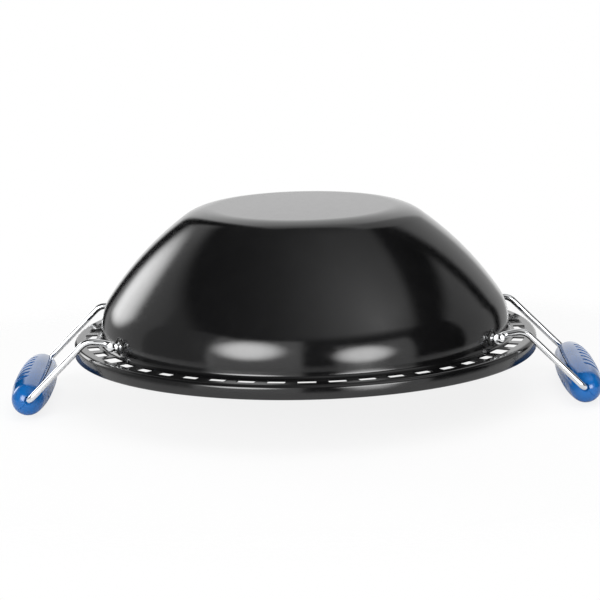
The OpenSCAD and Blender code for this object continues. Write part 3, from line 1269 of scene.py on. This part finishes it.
@dataclass(frozen=True)
class PhotoCamera:
    """Camera at the photograph's viewing angle. Lengths in mm, angles in degrees, image in pixels."""

    image_px: float = 600.0
    focal_px: float = 2303.8
    distance: float = 1805.3
    elevation: float = 11.38
    roll: float = -1.33
    rim_at_px: tuple[float, float] = (305.6, 345.2)
    sensor: float = 36.0

    def build(self, rim_centre: Vector) -> None:
        """Place the camera.

        Args:
            rim_centre: Middle of the rim's lower edge, in mm.
        """
        lift, roll = radians(self.elevation), radians(self.roll)
        back = Vector((0.0, -cos(lift), sin(lift)))
        level, upright = Vector((1.0, 0.0, 0.0)), Vector((0.0, sin(lift), cos(lift)))
        right = cos(roll) * level + sin(roll) * upright
        up = cos(roll) * upright - sin(roll) * level
        middle = self.image_px / 2
        aside = (self.rim_at_px[0] - middle) / self.focal_px * self.distance
        above = (middle - self.rim_at_px[1]) / self.focal_px * self.distance
        eye = rim_centre - aside * right - above * up + self.distance * back
        data = bpy.data.cameras.new("photo_camera")
        data.sensor_width = self.sensor
        data.lens = self.focal_px * self.sensor / self.image_px
        camera = bpy.data.objects.new("photo_camera", data)
        bpy.context.scene.collection.objects.link(camera)
        turn = Matrix((right, up, back)).transposed().to_4x4()
        camera.matrix_world = Matrix.Translation(eye * MM) @ turn
        bpy.context.scene.camera = camera


@dataclass(frozen=True)
class SoftPanel:
    """A square studio lamp that lights the part but stays out of its gloss. In m, degrees and W."""

    name: str
    azimuth: float
    elevation: float
    distance: float
    size: float
    power: float

    def build(self, target: Vector) -> None:
        """Place the lamp.

        Args:
            target: Place that the lamp faces, in m.
        """
        away = direction(self.azimuth, self.elevation)
        turn = away.to_track_quat("Z", "Y").to_matrix().to_4x4()
        data = bpy.data.lights.new(self.name, "AREA")
        data.size = self.size
        data.energy = self.power
        lamp = bpy.data.objects.new(self.name, data)
        lamp.matrix_world = Matrix.Translation(target + self.distance * away) @ turn
        lamp.visible_camera = False
        lamp.visible_glossy = False
        bpy.context.scene.collection.objects.link(lamp)


@dataclass(frozen=True)
class Glow:
    """A round soft light in the surround: its middle and its reach in degrees, and its strength."""

    azimuth: float
    elevation: float
    reach: float
    strength: float

    def middle(self) -> Vector:
        """Unit vector towards the middle of the light."""
        return direction(self.azimuth, self.elevation)


@dataclass(frozen=True)
class SoftWall:
    """An upright panel in the surround: its sides, top and soft edge in degrees, and its strength."""

    first: float
    last: float
    top: float
    soft: float
    strength: float


@dataclass(frozen=True)
class SoftEdge:
    """A soft edge in a light: the axis it crosses, where along it, and the shares before and after."""

    axis: tuple[float, float, float]
    start: float
    stop: float
    before: float
    after: float


class SkyBoard(NodeBoard):
    """The surround's node tree, with short calls for values that depend on the direction."""

    side_soft = 0.04

    def __init__(self, name: str) -> None:
        """Make a white surround.

        Args:
            name: Name of the surround.
        """
        world = bpy.data.worlds.new(name)
        bpy.context.scene.world = world
        world.use_nodes = True
        super().__init__(world.node_tree, "Generated")
        self.background = self.tree.nodes["Background"].inputs
        self.put(self.background["Color"], opaque(WHITE))

    def along(self, axis: Vector) -> NodeSocket:
        """Work out how far each direction goes along an axis.

        Args:
            axis: Axis of any length.

        Returns:
            The share, from -1 to 1.
        """
        node = self.add("ShaderNodeVectorMath", self.coordinates, axis.normalized())
        node.operation = "DOT_PRODUCT"
        return node.outputs["Value"]

    def glow(self, glow: Glow) -> NodeSocket:
        """Light of a glow, which ends at its reach."""
        return self.ramp(self.along(glow.middle()), cos(radians(glow.reach)), 1.0, 0.0, glow.strength)

    def halo(self, glow: Glow) -> NodeSocket:
        """Light of a glow that has no end, and falls to about a third with each reach from its middle.

        Args:
            glow: Middle, reach and strength of the light.

        Returns:
            The light's strength.
        """
        angle = self.calc(Sum.ARCCOSINE, self.along(glow.middle()))
        fall = self.calc(Sum.EXPONENT, self.calc(Sum.MULTIPLY, angle, -1.0 / radians(glow.reach)))
        return self.calc(Sum.MULTIPLY, fall, glow.strength)

    def edge(self, edge: SoftEdge) -> NodeSocket:
        """Share of a light that is left on each side of a soft edge."""
        return self.ramp(self.along(Vector(edge.axis)), edge.start, edge.stop, edge.before, edge.after)

    def wall(self, wall: SoftWall) -> NodeSocket:
        """Light of an upright panel.

        Args:
            wall: Sides, top, soft edge and strength of the panel.

        Returns:
            The light's strength.
        """
        low, high = (sin(radians(wall.top + side * wall.soft / 2)) for side in (-1, 1))
        light = self.ramp(self.along(UP), low, high, wall.strength, 0.0)
        for azimuth in (wall.first + 90.0, wall.last - 90.0):
            inwards = self.along(direction(azimuth, 0.0))
            light = self.calc(Sum.MULTIPLY, light, self.ramp(inwards, -self.side_soft, self.side_soft))
        return light

    def show(self, light: NodeSocket) -> None:
        """Light the part with a value, and show the camera plain white.

        Args:
            light: Strength of the light from each direction.
        """
        camera = self.add("ShaderNodeLightPath").outputs["Is Camera Ray"]
        pick = self.add("ShaderNodeMix", Factor=camera, A=light, B=1.0)
        self.put(self.background["Strength"], pick.outputs["Result"])


@dataclass
class Studio:
    """Pale floor, surround and lamp. Lengths in m."""

    floor_r: float = 0.46
    floor_clear_r: float = 0.36
    floor_colour: Colour = (0.90, 0.90, 0.90)
    floor_rough: float = 0.9
    floor_shown_white: float = 0.84
    floor_sides: int = 96
    ceiling: Glow = Glow(58.0, 50.0, 27.0, 1.45)
    ceiling_edges: tuple[SoftEdge, ...] = (
        SoftEdge((1.0, 0.9, -0.93), -0.05, 0.06, 1.0, 0.04),
        SoftEdge((0.0, 0.0, 1.0), 0.56, 0.77, 0.18, 1.0),
        SoftEdge((1.0, 0.0, 0.0), -0.7, 0.25, 0.4, 1.0),
    )
    glows: tuple[Glow, ...] = (
        Glow(-32.5, 17.0, 23.0, 10.0),
        Glow(32.0, 5.0, 20.0, 9.0),
        Glow(-137.0, 16.0, 17.0, 4.2),
    )
    walls: tuple[SoftWall, ...] = (
        SoftWall(-154.0, -52.0, 42.0, 6.0, 0.27),
        SoftWall(-154.0, -102.0, 38.0, 6.0, 0.22),
        SoftWall(140.0, 196.0, 57.0, 8.0, 0.55),
        SoftWall(160.0, 195.0, 48.0, 14.0, 0.53),
        SoftWall(99.0, 131.0, 34.0, 7.0, 0.47),
        SoftWall(-56.0, -2.0, 39.0, 8.0, 1.1),
        SoftWall(17.0, 62.0, 26.0, 10.0, 0.9),
    )
    lamp: SoftPanel = SoftPanel("overhead_panel", 0.0, 78.0, 1.6, 1.6, 12.0)

    def _floor(self) -> None:
        """Lay a round floor that the camera sees nearly white, whose edge fades into the surround."""
        bm = bmesh.new()
        bmesh.ops.create_circle(bm, cap_ends=True, segments=self.floor_sides, radius=self.floor_r)
        floor = new_piece("floor", bm)
        board = MaterialBoard("pale_floor")
        shader = board.shader.inputs
        shader["Base Color"].default_value = opaque(self.floor_colour)
        shader["Roughness"].default_value = self.floor_rough
        shader["Specular IOR Level"].default_value = 0.0
        camera = board.add("ShaderNodeLightPath").outputs["Is Camera Ray"]
        seen = board.calc(Sum.MULTIPLY, camera, self.floor_shown_white)
        white = board.add("ShaderNodeEmission", Strength=1.0)
        shown = board.add("ShaderNodeMixShader", seen, board.shader.outputs[0], white.outputs[0])
        away = board.add("ShaderNodeVectorMath", board.coordinates)
        away.operation = "LENGTH"
        fade = board.ramp(away.outputs["Value"], self.floor_clear_r, self.floor_r)
        clear = board.add("ShaderNodeBsdfTransparent")
        faded = board.add("ShaderNodeMixShader", fade, shown.outputs[0], clear.outputs[0])
        board.put(board.tree.nodes["Material Output"].inputs["Surface"], faded.outputs[0])
        floor.data.materials.append(board.material)

    def _surround(self) -> None:
        """Surround the part with upright panels, soft glows and a ceiling."""
        sky = SkyBoard("studio")
        edges = [sky.edge(edge) for edge in self.ceiling_edges]
        ceiling = sky.calc(Sum.MULTIPLY, sky.halo(self.ceiling), *edges)
        walls = [sky.wall(wall) for wall in self.walls]
        glows = [sky.glow(glow) for glow in self.glows]
        sky.show(sky.calc(Sum.ADD, ceiling, *walls, *glows))

    def build(self, target: Vector) -> None:
        """Set up the floor, the surround, the lamp and the view.

        Args:
            target: Place that the lamp faces, in m.
        """
        self._floor()
        self._surround()
        self.lamp.build(target)
        bpy.context.scene.view_settings.view_transform = "Standard"


def dress_small_parts(rubber: Material, zinc: Material) -> None:
    """Give the washers, nuts and screws that keep their nodes a finish.

    Args:
        rubber: Finish of the seal washers.
        zinc: Finish of the backing washers, nuts and screws.
    """
    by_ending = {"_seal_washer": rubber, "_backing_washer": zinc, "_cap_nut": zinc, "_grip_screws": zinc}
    for name, node in frame["nodes"].items():
        for ending, material in by_ending.items():
            if name.endswith(ending):
                node.data.materials.clear()
                node.data.materials.append(material)
                log.info("%s keeps its node", name)


def main() -> None:
    """Build the part's pieces, dress them and set up the studio."""
    logging.basicConfig(level=logging.INFO, format="%(name)s: %(message)s")
    places = Places.from_frame()
    finishes = (ENAMEL, CHROME, PLASTIC, RUBBER, ZINC)
    enamel, chrome, plastic, rubber, zinc = (finish.material() for finish in finishes)
    dome = DomeSheet(places)
    dome.build(enamel)
    shape = HandleShape(places, dome.rim_r)
    BailWire(shape).build(chrome)
    Grip(shape).build(plastic)
    PivotLug(places, dome).build(chrome)
    dress_small_parts(rubber, zinc)
    rim_centre = Vector((0.0, 0.0, places.rim_z))
    PhotoCamera().build(rim_centre)
    Studio().build(rim_centre * MM)


if __name__ == "__main__":
    main()
